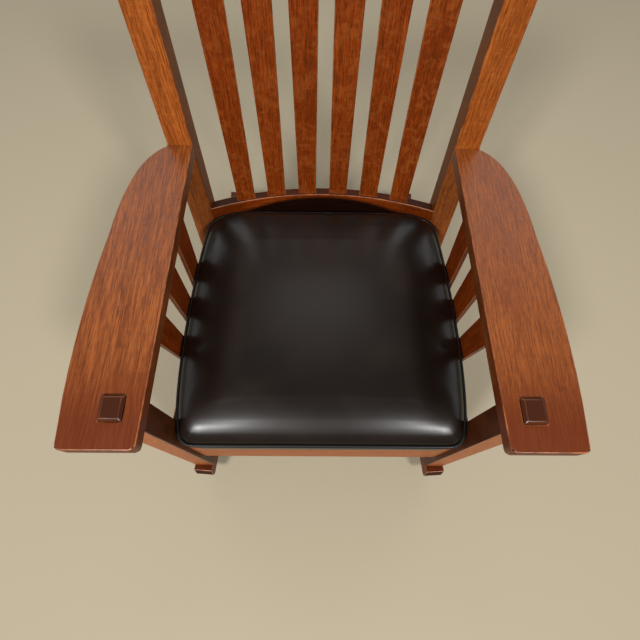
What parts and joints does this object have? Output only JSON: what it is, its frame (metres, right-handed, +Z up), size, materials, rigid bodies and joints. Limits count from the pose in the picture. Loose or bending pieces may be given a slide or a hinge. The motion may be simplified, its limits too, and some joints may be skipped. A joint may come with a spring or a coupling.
{
  "type": "rocking chair",
  "caption": "Mission rocking chair with square oak legs, flat curved arms, splayed side slats, a bowed slatted back, curved rockers and a lift-out boxed leather seat.",
  "frame": {"origin": "on the floor, in the middle of the chair's width and of its overall length from rocker tip to rocker tail", "axes": "+Z up, +X to the viewer's right when facing the front of the chair, -Y towards the viewer, so the chair faces -Y"},
  "size_m": [0.707, 0.7762, 0.9354],
  "materials": {
    "oak": "quartersawn oak, fumed reddish brown, satin lacquer",
    "inner_wood": "plain unfinished hardwood",
    "screw_steel": "plain steel, slotted heads",
    "leather": "near-black brown leather, soft sheen",
    "filling": "cotton and fibre filling",
    "webbing": "jute webbing",
    "dust_cloth": "black cambric"
  },
  "bodies": {
    "chair": {"rocker_left": "oak", "rocker_right": "oak", "front_leg_left": "oak", "front_leg_right": "oak", "back_post_left": "oak", "back_post_right": "oak", "arm_left": "oak", "arm_right": "oak", "front_seat_rail": "oak", "rear_seat_rail": "oak", "side_seat_rail_left": "oak", "side_seat_rail_right": "oak", "lower_back_rail": "oak", "crest_rail": "oak", "back_slat_1": "oak", "back_slat_2": "oak", "back_slat_3": "oak", "back_slat_4": "oak", "back_slat_5": "oak", "back_slat_6": "oak", "side_slat_left_1": "oak", "side_slat_left_2": "oak", "side_slat_left_3": "oak", "side_slat_right_1": "oak", "side_slat_right_2": "oak", "side_slat_right_3": "oak", "front_cleat": "inner_wood", "rear_cleat": "inner_wood", "side_cleat_left": "inner_wood", "side_cleat_right": "inner_wood", "front_corner_block_left": "inner_wood", "front_corner_block_right": "inner_wood", "rear_corner_block_left": "inner_wood", "rear_corner_block_right": "inner_wood", "rocker_screws": "screw_steel", "arm_screws": "screw_steel", "arm_screw_plugs": "oak", "cleat_screws": "screw_steel"},
    "seat": {"seat_frame_front": "inner_wood", "seat_frame_rear": "inner_wood", "seat_frame_left": "inner_wood", "seat_frame_right": "inner_wood", "seat_webbing_long": "webbing", "seat_webbing_cross": "webbing", "seat_dust_cover": "dust_cloth", "seat_filling": "filling", "seat_cushion": "leather"}
  },
  "joints": [
    {"name": "seat_lift", "type": "slide", "parent": "chair", "child": "seat", "axis": [0, 0.1323, 0.9912], "range_m": [0, 0.12]}
  ]
}
